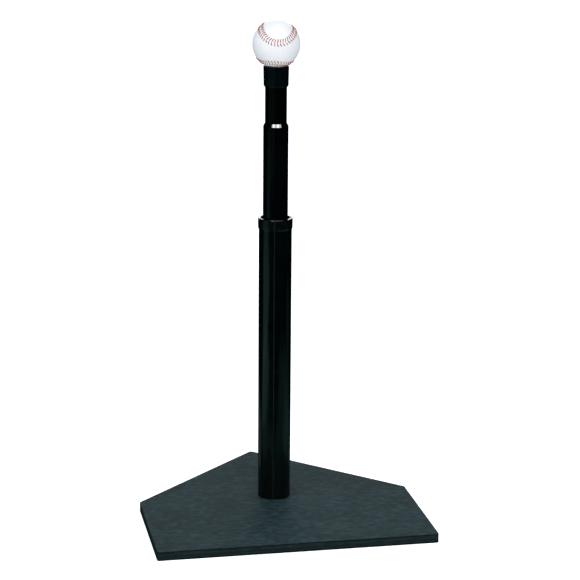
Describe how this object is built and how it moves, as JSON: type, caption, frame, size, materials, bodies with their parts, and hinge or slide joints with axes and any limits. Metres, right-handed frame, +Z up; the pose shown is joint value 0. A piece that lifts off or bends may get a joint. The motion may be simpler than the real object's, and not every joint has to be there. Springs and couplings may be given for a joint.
{
  "type": "batting tee",
  "caption": "Home-plate rubber base with a telescoping upright whose cup holds a baseball for batting practice.",
  "frame": {"origin": "on the floor, at the centre of the base plate's bottom, on the axis of the upright tubes", "axes": "+Z up along the tubes; +Y towards the plate's point, -Y towards its straight front edge; +X to the right seen from the front edge"},
  "size_m": [0.4318, 0.4298, 0.7731],
  "materials": {
    "plate_rubber": "moulded rubber, satin, faintly mottled",
    "tube_rubber": "smooth extruded rubber, satin",
    "sleeve_rubber": "smooth extruded rubber, satin",
    "cup_rubber": "moulded rubber, satin",
    "collar_rubber": "moulded rubber, satin",
    "ring_rubber": "soft rubber ring",
    "rigid_pipe": "extruded rigid pipe, matte",
    "nylon": "machined nylon, natural colour",
    "cork": "ground cork, moulded",
    "black_rubber": "solid rubber",
    "red_rubber": "solid rubber",
    "grey_yarn": "wound wool yarn",
    "white_yarn": "wound wool yarn",
    "cotton_yarn": "wound cotton yarn",
    "cover_leather": "white tanned leather, fine grain",
    "seam_thread": "waxed thread"
  },
  "bodies": {
    "root": {"base_plate": "plate_rubber", "lower_tube": "tube_rubber", "foot_plug": "nylon", "tube_liner": "rigid_pipe", "guide_bush": "rigid_pipe", "grip_rings": "ring_rubber", "collar": "collar_rubber"},
    "guide": {"guide_ring": "nylon", "friction_ring": "ring_rubber"},
    "stem": {"core_tube": "rigid_pipe", "stem_sleeve": "sleeve_rubber", "end_plug": "nylon", "ball_cup": "cup_rubber"},
    "ball": {"cork_centre": "cork", "black_rubber_shell": "black_rubber", "red_rubber_shell": "red_rubber", "grey_wool_winding": "grey_yarn", "white_wool_winding": "white_yarn", "outer_wool_winding": "grey_yarn", "cotton_winding": "cotton_yarn", "cover_panel_a": "cover_leather", "cover_panel_b": "cover_leather", "seam_stitches": "seam_thread"}
  },
  "joints": [
    {"name": "height_slide", "type": "slide", "parent": "root", "child": "guide", "axis": [0, 0, 1], "range_m": [-0.2028, 0.11]},
    {"name": "stem_twist", "type": "hinge", "parent": "guide", "child": "stem", "pos_m": [0, 0, 0.261], "axis": [0, 0, 1], "continuous": true},
    {"name": "ball_lift", "type": "slide", "parent": "stem", "child": "ball", "axis": [0, 0, 1], "range_m": [0, 0.12]}
  ]
}
